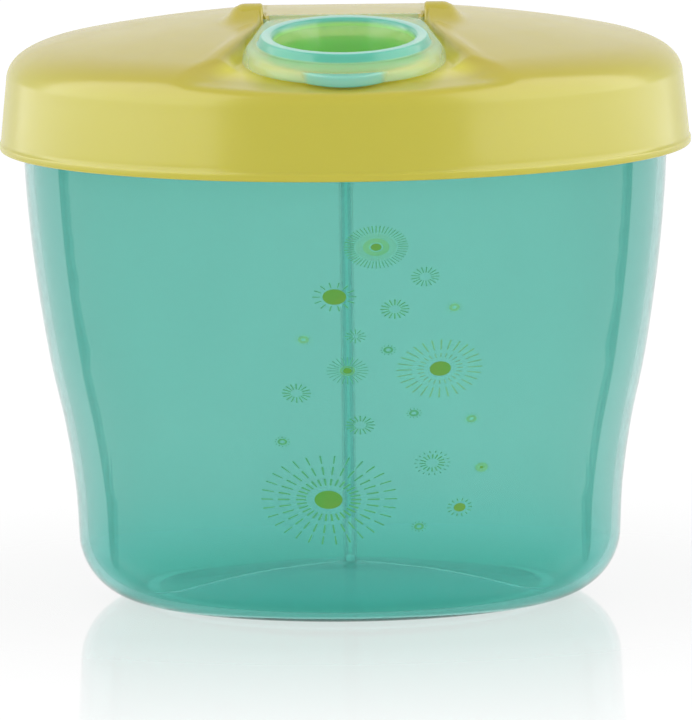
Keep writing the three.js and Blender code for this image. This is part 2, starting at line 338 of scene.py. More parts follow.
TUB_COLOUR = (0.465, 0.77, 0.722)
TUB_ABSORB = ((0.25, 0.45, 0.46), 60)  # colour and density of the light taken up inside the wall
# Painted shade: darker and deeper teal towards the tub's bottom, where the view passes through more
# plastic.
TUB_PAINTED_SHADE = [(0, (0.36, 0.88, 0.81)), (5, (0.7, 1, 1)), (12, (0.92, 1, 1)), (22, (1, 1, 1))]
VANE_COLOUR = (0.76, 0.97, 0.93)
# Painted shade along the vanes' outer edges, where a clear sheet seen edge-on looks darker.
VANE_SHADE_COLOUR = (0.18, 0.74, 0.67)
CLEAR = 0.94  # share of the light that passes through the tub and its vanes

LID_COLOUR = (0.425, 0.388, 0.032)
LID_PAINTED_SHADE = [(84, (1, 1, 1)), (88.5, (0.99, 0.9, 0.72))]  # painted shade: more golden up on the dome, offsetting the pale sheen there
# Painted light: a lighter yellow and a faint glow down in the recess, and a faint glow on the
# spout's walls.
LID_PIT_PAINTED_LIGHT = (0.52, 0.475, 0.035)
LID_PIT_PAINTED_GLOW = (0.085, 0.07, 0.0)
LID_SPOUT_PAINTED_GLOW = (0.02, 0.13, 0.0)
PIT_DEPTH_FADE = (0.4, 1.6)  # the recess's painted light fades in over these depths below the dome
PIT_R_FADE = (43, 48)  # and out over these distances from the lid's axis
SPOUT_GLOW_R_FADE = (12.3, 12.9)  # the spout's painted glow fades out over these distances from its axis
SPOUT_GLOW_H_FADE = (0.9, 1.5)  # and over these heights

# Pale aqua of the thin parts, with the yellow of the lid below painted in: painted light seen
# through the cap.
CAP_THIN_AND_LID_LIGHT = (0.7, 0.88, 0.5)
CAP_THICK = (0.095, 0.46, 0.37)
# Painted light: the well's green stands for the spout's yellow light seen through the clear plug.
CAP_WELL_SPOUT_LIGHT = (0.24, 0.66, 0.17)
CAP_TAB = (0.15, 0.6, 0.6)
CAP_REAR = (0.42, 0.72, 0.64)
# Painted highlight: a paler line along the collar's crest.
CAP_CREST_HIGHLIGHT = (0.5, 0.78, 0.74)
CAP_ALPHA = (0.26, 0.78)
# Where the cap's colours fade in or out: heights (H), distances from the axis (R) and distances
# back (BACK), in millimetres in the cap's own frame.
PLATE_H_FADE = (2.2, 3.0)
ABOVE_PLATE_H_FADE = (3.05, 3.45)
COLLAR_R_FADE = (14.1, 14.6)
CREST_HIGHLIGHT_H_FADE = (4.5, 4.62)
WELL_R_FADE = (11.1, 11.5)
WELL_H_FADE = (3.6, 4.2)
TAB_R_FADE = (15.7, 16.4)
TAB_BACK_FADE = (-12, -9)
REAR_R_FADE = (13.9, 14.4)
REAR_BACK_FADE = (-8, 6)
FINE_GRAIN = 2500  # noise scale of an ink's own grain


class Nodes:
    """A small builder for one material's node tree."""

    def __init__(self, name, material=None):
        self.material = material or bpy.data.materials.new(name)
        self.material.use_nodes = True
        self.tree = self.material.node_tree
        self.bsdf = self.tree.nodes["Principled BSDF"]
        self.place = self.add("ShaderNodeTexCoord").outputs["Object"]

    def add(self, kind, **settings):
        node = self.tree.nodes.new(kind)
        for key, value in settings.items():
            setattr(node, key, value)
        return node

    def link(self, a, b):
        self.tree.links.new(a, b)

    def noise(self, scale, detail=3.0, roughness=0.5, stretch=None):
        node = self.add("ShaderNodeTexNoise")
        node.inputs["Scale"].default_value = scale
        node.inputs["Detail"].default_value = detail
        node.inputs["Roughness"].default_value = roughness
        if stretch:
            mapping = self.add("ShaderNodeMapping")
            mapping.inputs["Scale"].default_value = stretch
            self.link(self.place, mapping.inputs["Vector"])
            self.link(mapping.outputs["Vector"], node.inputs["Vector"])
        else:
            self.link(self.place, node.inputs["Vector"])
        return node.outputs["Fac"]

    def ramp(self, value, stops):
        node = self.add("ShaderNodeValToRGB")
        elements = node.color_ramp.elements
        while len(elements) < len(stops):
            elements.new(0.5)
        for element, (place, colour) in zip(elements, stops):
            element.position = place
            element.color = (*colour, 1)
        self.link(value, node.inputs["Fac"])
        return node.outputs["Color"]

    def spread(self, value, low, high, start=0.3, end=0.7):
        node = self.add("ShaderNodeMapRange")
        node.inputs["From Min"].default_value = start
        node.inputs["From Max"].default_value = end
        node.inputs["To Min"].default_value = low
        node.inputs["To Max"].default_value = high
        self.link(value, node.inputs["Value"])
        return node.outputs["Result"]

    def bumps(self, *layers):
        """Adds bump layers, each (value, distance in mm, strength)."""
        last = None
        for value, distance, strength in layers:
            node = self.add("ShaderNodeBump")
            node.inputs["Distance"].default_value = distance * MM
            node.inputs["Strength"].default_value = strength
            self.link(value, node.inputs["Height"])
            if last:
                self.link(last, node.inputs["Normal"])
            last = node.outputs["Normal"]
        self.link(last, self.bsdf.inputs["Normal"])

    def mix(self, a, b, share, how="MIX"):
        """Mixes two colours; b and share are a socket or a value."""
        node = self.add("ShaderNodeMix", data_type="RGBA", blend_type=how)
        node.clamp_factor = True
        for socket, value in (("Factor_Float", share), ("A_Color", a), ("B_Color", b)):
            where = next(i for i in node.inputs if i.identifier == socket)
            if isinstance(value, bpy.types.NodeSocket):
                self.link(value, where)
            elif isinstance(value, tuple):
                where.default_value = (*value, 1)
            else:
                where.default_value = value
        return next(o for o in node.outputs if o.identifier == "Result_Color")

    def math(self, how, a, b=0.0):
        node = self.add("ShaderNodeMath", operation=how)
        for where, value in zip(node.inputs, (a, b)):
            if isinstance(value, bpy.types.NodeSocket):
                self.link(value, where)
            else:
                where.default_value = value
        return node.outputs["Value"]

    def cap_place(self):
        """Distance from the cap's axis, distance back along the flat, and height above it."""
        turn = Matrix.Rotation(-TILT, 3, "X")
        node = self.add("ShaderNodeMapping")
        node.inputs["Rotation"].default_value = (-TILT, 0, 0)
        node.inputs["Location"].default_value = turn @ Vector((0, -CAP_Y * MM, -FLAT_Z * MM))
        self.link(self.place, node.inputs["Vector"])
        parts = self.add("ShaderNodeSeparateXYZ")
        self.link(node.outputs["Vector"], parts.inputs[0])
        x, y, z = parts.outputs
        return self.math("SQRT", self.sum_of_squares(x, y)), y, z

    def sum_of_squares(self, x, y):
        return self.math("ADD", self.math("MULTIPLY", x, x), self.math("MULTIPLY", y, y))

    def fade(self, value, low, high, places):
        """From low to high between two places in millimetres."""
        start, end = places
        return self.spread(value, low, high, start * MM, end * MM)

    def absorb(self, colour, density):
        """Clear plastic that takes up light on its way through."""
        volume = self.add("ShaderNodeVolumeAbsorption")
        volume.inputs["Color"].default_value = (*colour, 1)
        volume.inputs["Density"].default_value = density
        output = next(node for node in self.tree.nodes if node.type == "OUTPUT_MATERIAL")
        self.link(volume.outputs["Volume"], output.inputs["Volume"])

    def set(self, **values):
        for key, value in values.items():
            self.bsdf.inputs[key.replace("_", " ")].default_value = value


def shift(colour, factor):
    return tuple(min(1.0, c * factor) for c in colour)


def linear(r, g, b):
    """A colour given in sRGB steps of 0 to 255, made linear."""
    out = []
    for c in (r, g, b):
        c /= 255
        out.append(c / 12.92 if c <= 0.04045 else ((c + 0.055) / 1.055) ** 2.4)
    return tuple(out)


def moulded_plastic(name, colour, roughness, flow=0.02, transmission=0.0, subsurface=0.0,
                    radius=(1, 1, 1), ior=1.49, wave_depth=0.12, painted_shade=None, absorb=None, shine=0.5):
    """Injection-moulded plastic: faint cloudy flow in the colour, uneven gloss and long shallow
    waves in the skin. The list of (height in mm, colour factors), when given, is a painted shade
    that darkens or tints the colour by height."""
    n = Nodes(name)
    cloud = n.noise(28, 3, 0.55, stretch=(1, 1, 0.5))
    tint = n.ramp(cloud, [(0.32, shift(colour, 1 - flow)), (0.68, shift(colour, 1 + flow))])
    # Painted shade: the colour is multiplied by factors that change with height.
    if painted_shade:
        height = n.add("ShaderNodeSeparateXYZ")
        n.link(n.place, height.inputs[0])
        low, high = painted_shade[0][0] * MM, painted_shade[-1][0] * MM
        share = n.spread(height.outputs["Z"], 0, 1, low, high)
        factor = n.ramp(share, [((z * MM - low) / (high - low), f) for z, f in painted_shade])
        tint = n.mix(tint, factor, 1.0, "MULTIPLY")
    n.link(tint, n.bsdf.inputs["Base Color"])
    if absorb:
        n.absorb(*absorb)
    patch = n.noise(140, 4, 0.6)
    n.link(n.spread(patch, roughness * 0.88, roughness * 1.14), n.bsdf.inputs["Roughness"])
    wave = n.noise(32, 2, 0.4)
    n.bumps((wave, wave_depth, 0.25))
    n.set(IOR=ior, Transmission_Weight=transmission, Specular_IOR_Level=shine)
    if subsurface:
        n.set(Subsurface_Weight=subsurface, Subsurface_Radius=radius, Subsurface_Scale=MM)
    return n.material


def milky_cap(name):
    """The flip cap's clear aqua plastic: pale and see-through where it is thin, deeper in colour
    and less clear in the solid collar and tab. Light is painted into its colour: the yellow of
    the lid below in the thin parts, the spout's light as green in the well, and a highlight on
    the collar's crest."""
    n = Nodes(name)

    def both(a, b):
        return n.math("MULTIPLY", a, b)

    radius, back, height = n.cap_place()
    above = n.fade(height, 0, 1, ABOVE_PLATE_H_FADE)
    collar = both(above, n.fade(radius, 1, 0, COLLAR_R_FADE))
    # Painted highlight along the collar's crest.
    crest_highlight = both(above, n.fade(height, 0, 0.7, CREST_HIGHLIGHT_H_FADE))
    tab = both(n.fade(radius, 0, 0.75, TAB_R_FADE), n.fade(back, 1, 0, TAB_BACK_FADE))
    rear = both(n.fade(back, 0, 0.8, REAR_BACK_FADE), n.fade(radius, 0, 1, REAR_R_FADE))
    well = both(n.fade(radius, 1, 0, WELL_R_FADE), n.fade(height, 1, 0, WELL_H_FADE))
    top = n.fade(height, 0, 0.35, PLATE_H_FADE)
    solid = n.math("MAXIMUM", n.math("MAXIMUM", collar, tab), top)
    solid = n.math("MAXIMUM", solid, both(well, 0.6))
    # Painted light: the thin colour holds the lid's yellow seen through it, the well's green the
    # spout's light, the crest a paler highlight.
    tint = n.mix(CAP_THIN_AND_LID_LIGHT, CAP_THICK, solid)
    for colour, share in ((CAP_TAB, tab), (CAP_WELL_SPOUT_LIGHT, well), (CAP_REAR, rear), (CAP_CREST_HIGHLIGHT, crest_highlight)):
        tint = n.mix(tint, colour, share)
    cloud = n.mix((0.97, 0.97, 0.97), (1, 1, 1), n.noise(60, 3, 0.5))
    n.link(n.mix(tint, cloud, 1.0, "MULTIPLY"), n.bsdf.inputs["Base Color"])
    clear, full = CAP_ALPHA
    n.link(n.math("ADD", clear, both(solid, full - clear)), n.bsdf.inputs["Alpha"])
    n.link(n.spread(n.noise(180, 3, 0.6), 0.13, 0.2), n.bsdf.inputs["Roughness"])
    n.bumps((n.noise(50, 2, 0.4), 0.05, 0.25))
    n.set(Subsurface_Weight=0.4, Subsurface_Radius=(0.6, 1.6, 1.3), Subsurface_Scale=MM, IOR=1.49)
    return n.material


def glowing_lid(name):
    """The lid's yellow plastic. It lets some light through, so light is painted into it: a lighter
    yellow and a faint glow down in the recess, and a faint glow on the walls of the spout, which
    are lit from all round."""
    material = moulded_plastic(name, LID_COLOUR, 0.24, subsurface=0.3, radius=(2, 1.5, 0.5),
                               wave_depth=0.06, painted_shade=LID_PAINTED_SHADE)
    n = Nodes(name, material)
    parts = n.add("ShaderNodeSeparateXYZ")
    n.link(n.place, parts.inputs[0])
    x, y, z = parts.outputs
    square = n.sum_of_squares(x, y)
    dome = n.math("SUBTRACT", LID_TOP_Z * MM, n.math("MULTIPLY", square, DOME_BEND / MM))
    pit_light = n.fade(n.math("SUBTRACT", dome, z), 0, 1, PIT_DEPTH_FADE)
    near, far = PIT_R_FADE
    pit_light = n.math("MULTIPLY", pit_light, n.spread(square, 1, 0, (near * MM) ** 2, (far * MM) ** 2))
    plain = next(link.from_socket for link in n.bsdf.inputs["Base Color"].links)
    # Painted light: a lighter yellow down in the recess.
    n.link(n.mix(plain, LID_PIT_PAINTED_LIGHT, pit_light), n.bsdf.inputs["Base Color"])
    radius, _, height = n.cap_place()
    below = n.fade(height, 1, 0, SPOUT_GLOW_H_FADE)
    inside = n.math("MULTIPLY", n.fade(radius, 1, 0, SPOUT_GLOW_R_FADE), below)
    # Painted light: the recess and the spout's walls glow, though they are no lamp.
    glow = n.mix(n.mix((0, 0, 0), LID_PIT_PAINTED_GLOW, pit_light), LID_SPOUT_PAINTED_GLOW, inside)
    n.link(glow, n.bsdf.inputs["Emission Color"])
    n.bsdf.inputs["Emission Strength"].default_value = 1
    return material


def printed_ink(name, colour, other, cover=1.0):
    """Pad-printed ink: two close shades that drift into each other, and fine grain in the gloss."""
    n = Nodes(name)
    drift = n.ramp(n.noise(170, 2, 0.4), [(0.4, colour), (0.62, other)])
    n.link(drift, n.bsdf.inputs["Base Color"])
    grain = n.noise(FINE_GRAIN, 2, 0.5)
    n.link(n.spread(grain, 0.32, 0.5), n.bsdf.inputs["Roughness"])
    n.bumps((grain, 0.01, 0.3))
    n.set(Alpha=cover)
    return n.material


# ---- tub and divider ------------------------------------------------------------------------

def tub_surface(inset, side_steps=70):
    """The tub's surface moved inwards: bottom dome, standing ring, fillet and S-shaped side."""
    side_r, fillet = TUB_SIDE[0]
    dome = [(PUNT_R * t, PUNT_RISE * (1 - t * t) + inset) for t in np.linspace(0, 0.97, 24)]
    blend = [(PUNT_R - 0.4, inset + 0.13), (PUNT_R, inset + 0.03), (PUNT_R + 0.5, inset)]
    corner = arc(side_r - fillet, fillet, fillet - inset, -90, 0, 22)
    side = spline([(r - inset, z) for r, z in TUB_SIDE], side_steps)
    return [*dome, *blend, *corner, *side[1:]]


def build_tub():
    outside = tub_surface(0)
    inside = tub_surface(TUB_WALL)
    rim = TUB_RIM_Z
    bead = [(TUB_BEAD_R - 0.05, 76.3), (TUB_BEAD_R, 76.7), (TUB_BEAD_R, rim - 0.5),
            *arc(TUB_BEAD_R - 0.5, rim - 0.5, 0.5, 15, 90, 5)]
    mouth = [(50.35, rim), (50.05, rim - 0.1), (49.95, rim - 0.35)]
    loop = [*outside, *bead, *mouth, *reversed(inside)]
    tub = lathe("tub_shell", loop)
    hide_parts("tub")
    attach(tub, "tub_body")
    return tub


def star_outline(radii):
    """The outline of three vanes seen from above, and for each vane the numbers of the points on
    its right and on its left, from the middle out."""
    half = VANE_THICK / 2
    angles = [math.radians(a) for a in (-90 - FRONT_VANE_ANGLE, -90 + FRONT_VANE_ANGLE, 90)]
    outline = []
    arms = []
    for angle, after in zip(angles, (angles[1], angles[2], angles[0] + 2 * math.pi)):
        along = Vector((math.cos(angle), math.sin(angle)))
        left = Vector((-along.y, along.x))
        start = len(outline)
        outline += [along * r - left * half for r in radii]
        outline += [along * r + left * half for r in reversed(radii)]
        ends = start + len(radii)
        arms.append((list(range(start, ends)), list(reversed(range(ends, len(outline))))))
        for turn in np.linspace(angle, after, 21)[2:-2]:  # the concave fillet between two vanes
            nearness = sum(math.sin(gap) ** -HUB_FILLET for gap in (turn - angle, after - turn))
            r = half * nearness ** (1 / HUB_FILLET)
            outline.append(Vector((math.cos(turn), math.sin(turn))) * r)
    return outline, arms


def build_divider():
    """Three vanes in a star. Every point of the star's outline has a bottom on the tub's floor or
    side and a top at one height."""
    floor = tub_surface(TUB_WALL + VANE_GAP, 40)
    outline, arms = star_outline([r for r, _ in floor if r > HUB_REACH])
    floor_r, floor_z = zip(*floor)
    bottoms = [float(np.interp(p.length, floor_r, floor_z)) for p in outline]
    count = len(outline)
    rows = 14
    points = []
    for t in np.linspace(0, 1, rows + 1):
        points += [(p.x, p.y, z * (1 - t) + VANE_TOP_Z * t) for p, z in zip(outline, bottoms)]
    faces = skin([list(range(i * count, (i + 1) * count)) for i in range(rows + 1)], closed=False)
    for level in (0, rows * count):
        hub = set(range(count))
        for right, left in arms:
            for a in range(len(right) - 1):
                corners = (right[a], right[a + 1], left[a + 1], left[a])
                faces.append([level + k for k in corners])
            hub -= {*right[1:], *left[1:]}
        faces.append([level + k for k in sorted(hub)])
    divider = mesh_object("divider_vanes", points, faces)
    round_edges(divider, VANE_ROUNDING, 3)
    # Faces near a vane's outer edge take the second material, a painted shade.
    side_r, side_z = zip(*[p for p in floor if p[1] > TUB_SIDE[0][1]])
    for polygon in divider.data.polygons:
        x, y, z = polygon.center / MM
        outer = float(np.interp(z, side_z, side_r)) - VANE_SHADE_WIDTH
        polygon.material_index = int(math.hypot(x, y) > outer)
    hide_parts("divider_insert")
    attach(divider, "tub_body")
    return divider


# ---- lid ------------------------------------------------------------------------------------

def lid_height(x, y, z, lowered):
    """The height of the lid's top at (x, y), where the plain surface of revolution is at z; the
    underside is the same surface lowered."""
    flat = FLAT_Z + (y - CAP_Y) * math.tan(TILT) - lowered
    back = (y - CAP_Y) / math.cos(TILT)
    across = np.abs(x) - np.interp(back, *zip(*RECESS_EDGE)) - lowered
    # The recess's side wall rises over this width, which grows towards the front.
    wall = 1.1 + 1.2 * smoothstep(9, 2, back) + 8 * smoothstep(0, -15, back)
    plain = 1 - (1 - smoothstep(-wall, 0, across)) * (1 - smoothstep(*RECESS_REAR, back - lowered))
    softness = 0.25 + 0.75 * smoothstep(-4, -16, back)
    height = z + smooth_min(flat - z, 0, softness) * (1 - plain)
    beside = np.abs(y - HINGE_Y)
    if lowered:  # the underside also clears the groove for the hinge barrel
        reach = BARREL_R + BARREL_GAP + GROOVE_WALL
        trough = HINGE_Z - np.sqrt(np.clip(reach ** 2 - beside ** 2, 0, None))
        trough = trough + FAR_ABOVE * smoothstep(reach - 0.4, reach, beside)
        trough = trough + FAR_ABOVE * smoothstep(KNUCKLE_X[1], KNUCKLE_X[1] + 1, np.abs(x))
        return smooth_min(height, trough, 0.3)
    # A low ridge along the recess, a swelling about each knuckle, and flat land behind the hinge.
    ridge = RECESS_RIDGE * np.exp(-((across - 0.7) / 1.2) ** 2) * smoothstep(-9, 2, back)
    middle, half = sum(KNUCKLE_X) / 2, (KNUCKLE_X[1] - KNUCKLE_X[0]) / 2
    past = np.clip(np.abs(np.abs(x) - middle) - half + 1, 0, None)
    mound = MOUND_RISE * np.exp(-(past / MOUND_SIDE) ** 2 - (beside / MOUND_LENGTH) ** 2)
    rise = np.maximum(ridge, mound) * plain * (1 - smoothstep(2, 12, y))
    land = LID_TOP_Z - LAND_DEPTH - DOME_BEND * y ** 2
    land = land + 3 * smoothstep(KNUCKLE_X[0] - 0.3, KNUCKLE_X[0] + 0.6, np.abs(x))
    land = land + 3 * smoothstep(34, 48, y)
    return smooth_min(height + rise, land, 0.12)


def lid_outside():
    """The lid's outside from the foot of the skirt to near the axis."""
    lip = LID_LIP_R
    bottom = LID_BOTTOM_Z
    skirt_r, skirt_z = SKIRT_TOP
    curl = LIP_ROUNDING
    edge = [(LID_FOOT_R, bottom), (lip - 0.45, bottom),
            *arc(lip - curl, bottom + curl, curl, -70, 0, 5),
            *arc(lip - curl, bottom + 0.95, curl, 0, 50, 4), (lip - 0.26, bottom + 1.5)]
    low_r, low_z = lip - 0.28, bottom + 2
    stations = (0, *np.linspace(0.08, 1, 8))
    skirt = [(low_r + (skirt_r - low_r) * t, low_z + (skirt_z - low_z) * t) for t in stations]
    shoulder = bend((skirt_r, skirt_z), SHOULDER_PULL, (SHOULDER_R, dome_z(SHOULDER_R)), 24)
    spacings = ((SHOULDER_R - 0.6, 40, -0.6), (39.8, 13, -0.25), (12.6, 0.3, -0.9))
    top = [(r, dome_z(r)) for spacing in spacings for r in np.arange(*spacing)]
    return [*edge, *skirt, *shoulder[1:], *top]


def lid_surface(name):
    """The lid's closed shell as a lathe whose upper rings follow the recess."""
    outer = lid_outside()
    bottom = LID_BOTTOM_Z
    under = [(r, dome_z(r) - LID_WALL) for r in np.linspace(0.4, SHOULDER_R - 0.6, 56)]
    shoulder_end = (SHOULDER_R, dome_z(SHOULDER_R) - LID_WALL)
    inner_shoulder = bend(SKIRT_TOP_INSIDE, SHOULDER_PULL_INSIDE, shoulder_end, 20)
    # Down past the bead that holds the lid on the tub.
    inner_skirt = [(53.0, 76.7), (52.5, 76.3), (52.05, 75.9), (52.0, 75.65), (52.05, 75.4),
                   (52.6, 74.9), (53.2, 74.5), (53.4, bottom + 0.4), (53.48, bottom + 0.12)]
    wide = LID_FINE_ANGLE
    angles = [*np.linspace(-wide, wide, LID_FINE_STEPS, endpoint=False),
              *np.linspace(wide, 2 * math.pi - wide, LID_PLAIN_STEPS, endpoint=False)]
    profile = [(0, LID_TOP_Z), *reversed(outer), *reversed(inner_skirt), *inner_shoulder,
               *reversed(under), (0, LID_TOP_Z - LID_WALL)]
    lid = lathe(name, profile, angles=[a - math.pi / 2 for a in angles])
    co = np.empty(len(lid.data.vertices) * 3)
    lid.data.vertices.foreach_get("co", co)
    co = co.reshape(-1, 3) / MM
    is_outer = np.arange(len(co)) < 1 + len(outer) * len(angles)
    is_high = co[:, 2] > LID_FINE_FROM
    for chosen, lowered in ((is_outer & is_high, 0), (~is_outer & is_high, LID_WALL)):
        co[chosen, 2] = lid_height(*co[chosen].T, lowered)
    lid.data.vertices.foreach_set("co", (co * MM).ravel())
    lid.data.update()
    return lid


def in_cap_frame(obj):
    obj.data.transform(CAP_FRAME)
    return obj


def block(name, low, high):
    """A box between two opposite corners."""
    xs, ys, zs = zip(low, high)
    points = [(x, y, z) for x in xs for y in ys for z in zs]
    faces = [(0, 1, 3, 2), (4, 6, 7, 5), (0, 4, 5, 1), (2, 3, 7, 6), (0, 2, 6, 4), (1, 5, 7, 3)]
    return mesh_object(name, points, faces)


def build_lid():
    lid = lid_surface("lid_shell")
    inner, outer = SPOUT_R
    top = SPOUT_TOP_H
    lip = 0.5  # rounding of the spout's mouth
    tube = lathe("tube", [(inner - 1, -9), (outer, -9), (outer + 0.9, -0.9), (outer + 0.35, -0.1),
                          (outer, 0.35), *arc(outer - lip, top - lip, lip, 0, 90, 6),
                          (inner - 1, top)], SPOUT_STEPS)
    in_cap_frame(tube)
    below = block("below", (-30, CAP_Y - 20, 70), (30, CAP_Y + 20, DISC_Z[1] + 0.3))
    combine(tube, below, "DIFFERENCE")
    combine(lid, tube, "UNION")
    bore = lathe("bore", [(0, -12), (inner, -12), (inner, top - 0.4), (inner + 0.5, top + 0.1),
                          (inner + 0.5, 12), (0, 12)], SPOUT_STEPS)
    combine(lid, in_cap_frame(bore), "DIFFERENCE")
    for side in (-1, 1):
        x0, x1 = sorted((side * KNUCKLE_X[0], side * KNUCKLE_X[1]))
        roundings = KNUCKLE_ROUNDINGS[::side]
        combine(lid, hinge_bar("knuckle", KNUCKLE_R, x0, x1, 96, roundings), "UNION")
    near = KNUCKLE_X[0]
    combine(lid, hinge_bar("groove", BARREL_R + BARREL_GAP, -near, near), "DIFFERENCE")
    for side in (-1, 1):
        x0, x1 = sorted((side * (near - 1), side * (BARREL_HALF + STUD_REACH + 0.6)))
        combine(lid, hinge_bar("socket", SOCKET_R, x0, x1, 32), "DIFFERENCE")
    for i in range(LUG_COUNT):
        half = LUG_WIDTH / 2
        lug = block("lug", (-half, LUG_R, LUG_Z[0]), (half, LUG_R + 1.3, LUG_Z[1]))
        lug.data.transform(Matrix.Rotation(2 * math.pi * (i + 0.5) / LUG_COUNT, 4, "Z"))
        combine(lid, lug, "UNION")
    shade(lid, 32)
    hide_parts("lid")
    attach(lid, "lid_body")
    return lid


def build_disc():
    bottom, top = DISC_Z
    edge = DISC_ROUNDING
    profile = [(0, bottom), *arc(DISC_R - edge, bottom + edge, edge, -90, 0, 4),
               *arc(DISC_R - edge, top - edge, edge, 0, 90, 4), (0, top)]
    plate = lathe("disc_plate", profile)
    hole_y = CAP_Y + (FLAT_Z - top) * math.tan(TILT)
    hole = lathe("hole", [(0, bottom - 1), (POUR_HOLE_R, bottom - 1), (POUR_HOLE_R, top + 1),
                          (0, top + 1)], 128)
    hole.data.transform(Matrix.Translation((0, hole_y * MM, 0)))
    combine(plate, hole, "DIFFERENCE")
    round_edges(plate, 0.25, 2, 50)
    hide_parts("closure_disc")
    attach(plate, "lid_body")
    return plate


def build_seal():
    """A ring whose section is a rounded square."""

    def along(span, share):
        bulge = math.copysign(abs(share) ** 0.7, share)
        return (span[0] + span[1]) / 2 + (span[1] - span[0]) / 2 * bulge

    loop = []
    for i in range(20):
        a = 2 * math.pi * i / 20
        loop.append((along(SEAL_R, math.cos(a)), along(SEAL_Z, math.sin(a))))
    seal = lathe("seal_ring", loop)
    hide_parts("lid_seal")
    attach(seal, "seal_body")
    return seal


# ---- flip cap -------------------------------------------------------------------------------

def cap_outline_radius(angle):
    """Distance from the cap's centre to its outline in one direction: the front of a circle, and
    two straight sides to the rear edge, with the rear corners rounded."""
    reach = math.hypot(BARREL_HALF, HINGE_BACK)
    corner = math.atan2(HINGE_BACK, BARREL_HALF)
    touch = corner - math.acos(CAP_R / reach)
    a = math.atan2(math.sin(angle), abs(math.cos(angle)))
    if a <= touch:
        return CAP_R
    side = CAP_R / math.cos(a - touch)
    rear = HINGE_BACK / max(math.sin(a), 1e-6)
    k = 14.0  # a high power mean rounds the corner between the side and the rear edge
    return (side ** -k + rear ** -k) ** (-1 / k)


def cap_levels():
    """The cap's section as a loop of levels (inset from the outline, circle's radius, share of the
    circle, height, share of the slope to the rear). The top comes first, then the underside."""
    wall = CAP_WALL
    rise = PLATEAU_H - CAP_FOOT
    under = PLATEAU_H - wall
    round_in, round_out = 0.25, 0.15  # heights at which the rounding of the edge starts
    levels = []

    def follow(inset, height, slope=0.0):
        levels.append((inset, 0, 0, height, slope))

    def circles(places, slope=0.0):
        levels.extend((0, r, 1, h, slope) for r, h in places)

    # The rounded edge and the plateau.
    for inset, lift in ((0.9, 0), (0.25, 0), (0.05, 0.08), (0.0, round_in)):
        follow(inset, CAP_FOOT + lift)
    for i in range(1, 13):
        a = math.pi / 2 * i / 12
        height = CAP_FOOT + round_in + (rise - round_in) * math.sin(a)
        follow(PLATEAU_INSET * (1 - math.cos(a)), height, math.sin(a))
    levels.append((PLATEAU_INSET + 0.1, 14.0, 0.5, PLATEAU_H, 0.6))
    circles([(13.85, PLATEAU_H + 0.03)], 0.1)
    # The collar, and the well down to its floor.
    circles([(13.7, PLATEAU_H + 0.16), (13.48, PLATEAU_H + 0.5)])
    circles(arc(12.6, COLLAR_H - 0.75, 0.75, 25, 84, 8))
    circles(arc(11.85, COLLAR_H - 0.8, 0.75, 88, 160, 9))
    circles([(10.95, 3.2), (10.75, 2.3), (10.45, 1.0), (9.95, -1.2)])
    circles(reversed(arc(9.2, -1.8, 0.6, -90, -5, 6)))
    circles([(6.0, WELL_FLOOR_H + 0.03), (2.5, WELL_FLOOR_H), (0, WELL_FLOOR_H)])
    # The plug's outside, the ceiling under the plateau and the inside of the edge.
    circles([(0, PLUG_BOTTOM_H), (5.0, PLUG_BOTTOM_H)])
    circles(arc(9.7, PLUG_BOTTOM_H + 0.7, 0.7, -90, -8, 6))
    circles([(10.75, -1.0), (11.2, 1.0), (11.3, 1.7), (11.6, under - 0.1), (12.2, under)])
    levels.append((PLATEAU_INSET + wall + 0.3, 12.8, 0.5, under, 0.6))
    for i in reversed(range(9)):
        a = math.pi / 2 * i / 8
        height = CAP_FOOT + round_out + (rise - wall - round_out) * math.sin(a)
        follow(wall + PLATEAU_INSET * (1 - math.cos(a)), height, math.sin(a))
    follow(wall - 0.1, CAP_FOOT)
    return levels


def cap_surface(name):
    """The cap's closed shell. Each direction from its centre has the same list of levels, whose
    distances run from the outline at the foot to true circles at the collar."""
    steps = 360
    turns = [2 * math.pi * i / steps for i in range(steps)]
    points = []
    rows = []
    for inset, circle, share, height, slope in cap_levels():
        start = len(points)
        if circle == 0 and share == 1:
            points.append((0, 0, height))
        else:
            for a in turns:
                outline = cap_outline_radius(a) - inset
                rho = outline * (1 - share) + circle * share
                x, y = rho * math.cos(a), rho * math.sin(a)
                to_rear = float(smoothstep(13, HINGE_BACK - 0.5, y))
                drop = (PLATEAU_H - REAR_TOP_H) * to_rear * slope
                points.append((x, y, max(height - drop, min(height, CAP_FOOT + 0.1))))
        rows.append(list(range(start, len(points))))
    return mesh_object(name, points, skin(rows, closed=True))


def thumb_tab():
    """A lens-shaped lip at the foot of the cap's front."""
    back = -CAP_R + 2.2
    tip = -CAP_R - TAB_REACH
    outline = bend((-TAB_HALF, back), (0, 2 * tip - back), (TAB_HALF, back), 28)
    points = [(x, y, z) for z in (CAP_FOOT, TAB_TOP_H) for x, y in outline]
    n = len(outline)
    faces = [tuple(range(n)), tuple(range(2 * n - 1, n - 1, -1))]
    faces += [(i, (i + 1) % n, n + (i + 1) % n, n + i) for i in range(n)]
    tab = mesh_object("tab", points, faces)
    round_edges(tab, TAB_ROUNDING, 4)
    return tab


def build_cap():
    cap = cap_surface("cap_shell")
    combine(cap, thumb_tab(), "UNION")
    in_cap_frame(cap)
    combine(cap, hinge_bar("barrel", BARREL_R, -BARREL_HALF, BARREL_HALF, 64, (0.3, 0.3)), "UNION")
    studs = BARREL_HALF + STUD_REACH
    combine(cap, hinge_bar("studs", STUD_R, -studs, studs, 32, (0.2, 0.2)), "UNION")
    shade(cap, 38)
    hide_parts("flip_cap")
    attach(cap, "cap_body")
    return cap


# ---- printed bursts -------------------------------------------------------------------------

INK_LIFT = 0.015
INK_THICK = 0.045
HAZE_THICK = 0.0675


